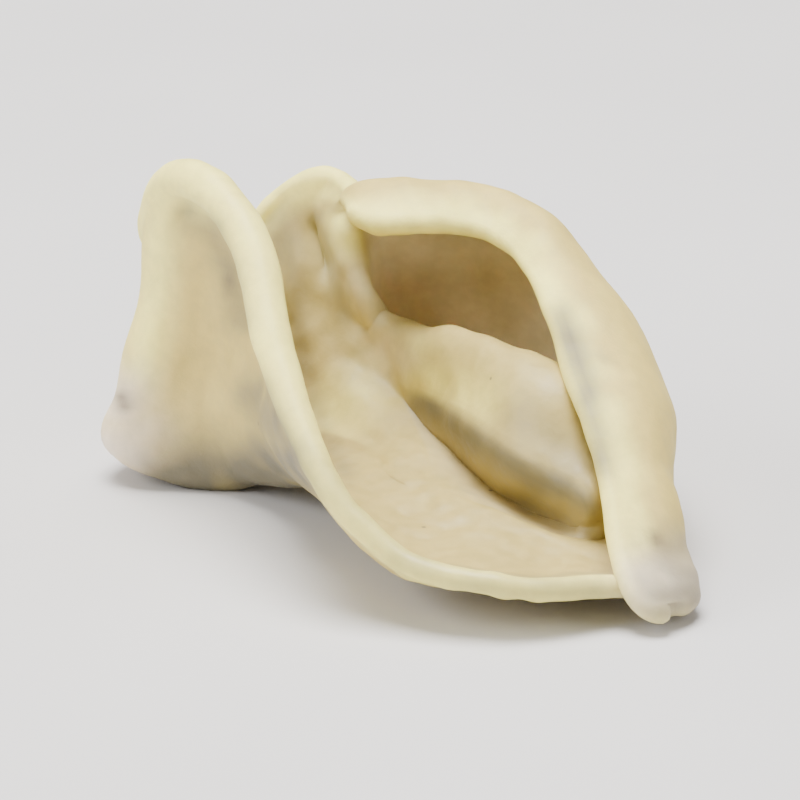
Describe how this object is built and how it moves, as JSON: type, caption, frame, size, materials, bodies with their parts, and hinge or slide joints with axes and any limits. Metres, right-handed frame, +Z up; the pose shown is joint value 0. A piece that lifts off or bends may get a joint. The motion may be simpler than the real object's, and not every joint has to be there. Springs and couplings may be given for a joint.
{
  "type": "dried wood ear mushroom",
  "caption": "Dried white wood ear: one thin cupped sheet with a rolled rim, an inner fold, a curled hood and a small attachment nub.",
  "frame": {"origin": "centre of the bounding box at ground level", "axes": "+Z up from the ground it rests on, +X to the viewer's right, +Y away from the viewer"},
  "size_m": [0.0286, 0.0298, 0.0176],
  "materials": {
    "dried_ear": "dull ivory, faintly waxy and translucent"
  },
  "bodies": {
    "root": {"ear": "dried_ear"}
  },
  "joints": []
}
